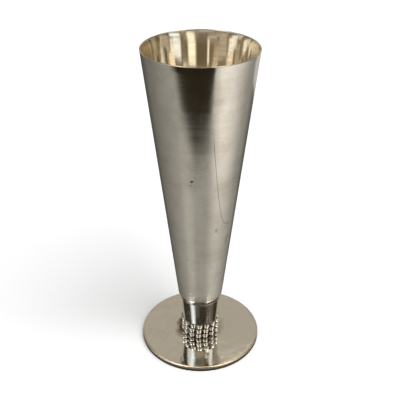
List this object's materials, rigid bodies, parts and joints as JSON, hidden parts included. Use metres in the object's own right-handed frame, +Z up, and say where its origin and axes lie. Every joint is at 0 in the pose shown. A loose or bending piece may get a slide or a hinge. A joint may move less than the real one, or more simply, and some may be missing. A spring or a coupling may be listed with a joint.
{
  "type": "trumpet vase",
  "caption": "Tall narrow trumpet vase of silver: a satin cone on a short tapered stem, with a collar of small balls where the stem meets a flat round foot.",
  "frame": {"origin": "centre of the foot's underside, on the surface that the vase stands on", "axes": "+Z up along the vase's axis, from the foot to the rim; -Y towards the viewer of the picture"},
  "size_m": [0.0784, 0.0784, 0.2],
  "materials": {
    "satin_silver": "satin outside, polished inside",
    "polished_silver": "polished, with fine wear",
    "granule_silver": "polished, darkened in the gaps"
  },
  "bodies": {
    "root": {"base_plate": "satin_silver", "foot": "polished_silver", "granule_lower_01": "granule_silver", "granule_lower_02": "granule_silver", "granule_lower_03": "granule_silver", "granule_lower_04": "granule_silver", "granule_lower_05": "granule_silver", "granule_lower_06": "granule_silver", "granule_lower_07": "granule_silver", "granule_lower_08": "granule_silver", "granule_lower_09": "granule_silver", "granule_lower_10": "granule_silver", "granule_lower_11": "granule_silver", "granule_lower_12": "granule_silver", "granule_lower_13": "granule_silver", "granule_lower_14": "granule_silver", "granule_lower_15": "granule_silver", "granule_middle_01": "granule_silver", "granule_middle_02": "granule_silver", "granule_middle_03": "granule_silver", "granule_middle_04": "granule_silver", "granule_middle_05": "granule_silver", "granule_middle_06": "granule_silver", "granule_middle_07": "granule_silver", "granule_middle_08": "granule_silver", "granule_middle_09": "granule_silver", "granule_middle_10": "granule_silver", "granule_middle_11": "granule_silver", "granule_middle_12": "granule_silver", "granule_middle_13": "granule_silver", "granule_middle_14": "granule_silver", "granule_middle_15": "granule_silver", "granule_upper_01": "granule_silver", "granule_upper_02": "granule_silver", "granule_upper_03": "granule_silver", "granule_upper_04": "granule_silver", "granule_upper_05": "granule_silver", "granule_upper_06": "granule_silver", "granule_upper_07": "granule_silver", "granule_upper_08": "granule_silver", "granule_upper_09": "granule_silver", "granule_upper_10": "granule_silver", "granule_upper_11": "granule_silver", "granule_upper_12": "granule_silver", "granule_upper_13": "granule_silver", "granule_upper_14": "granule_silver", "granule_upper_15": "granule_silver", "stem": "polished_silver", "trumpet_body": "satin_silver"}
  },
  "joints": []
}
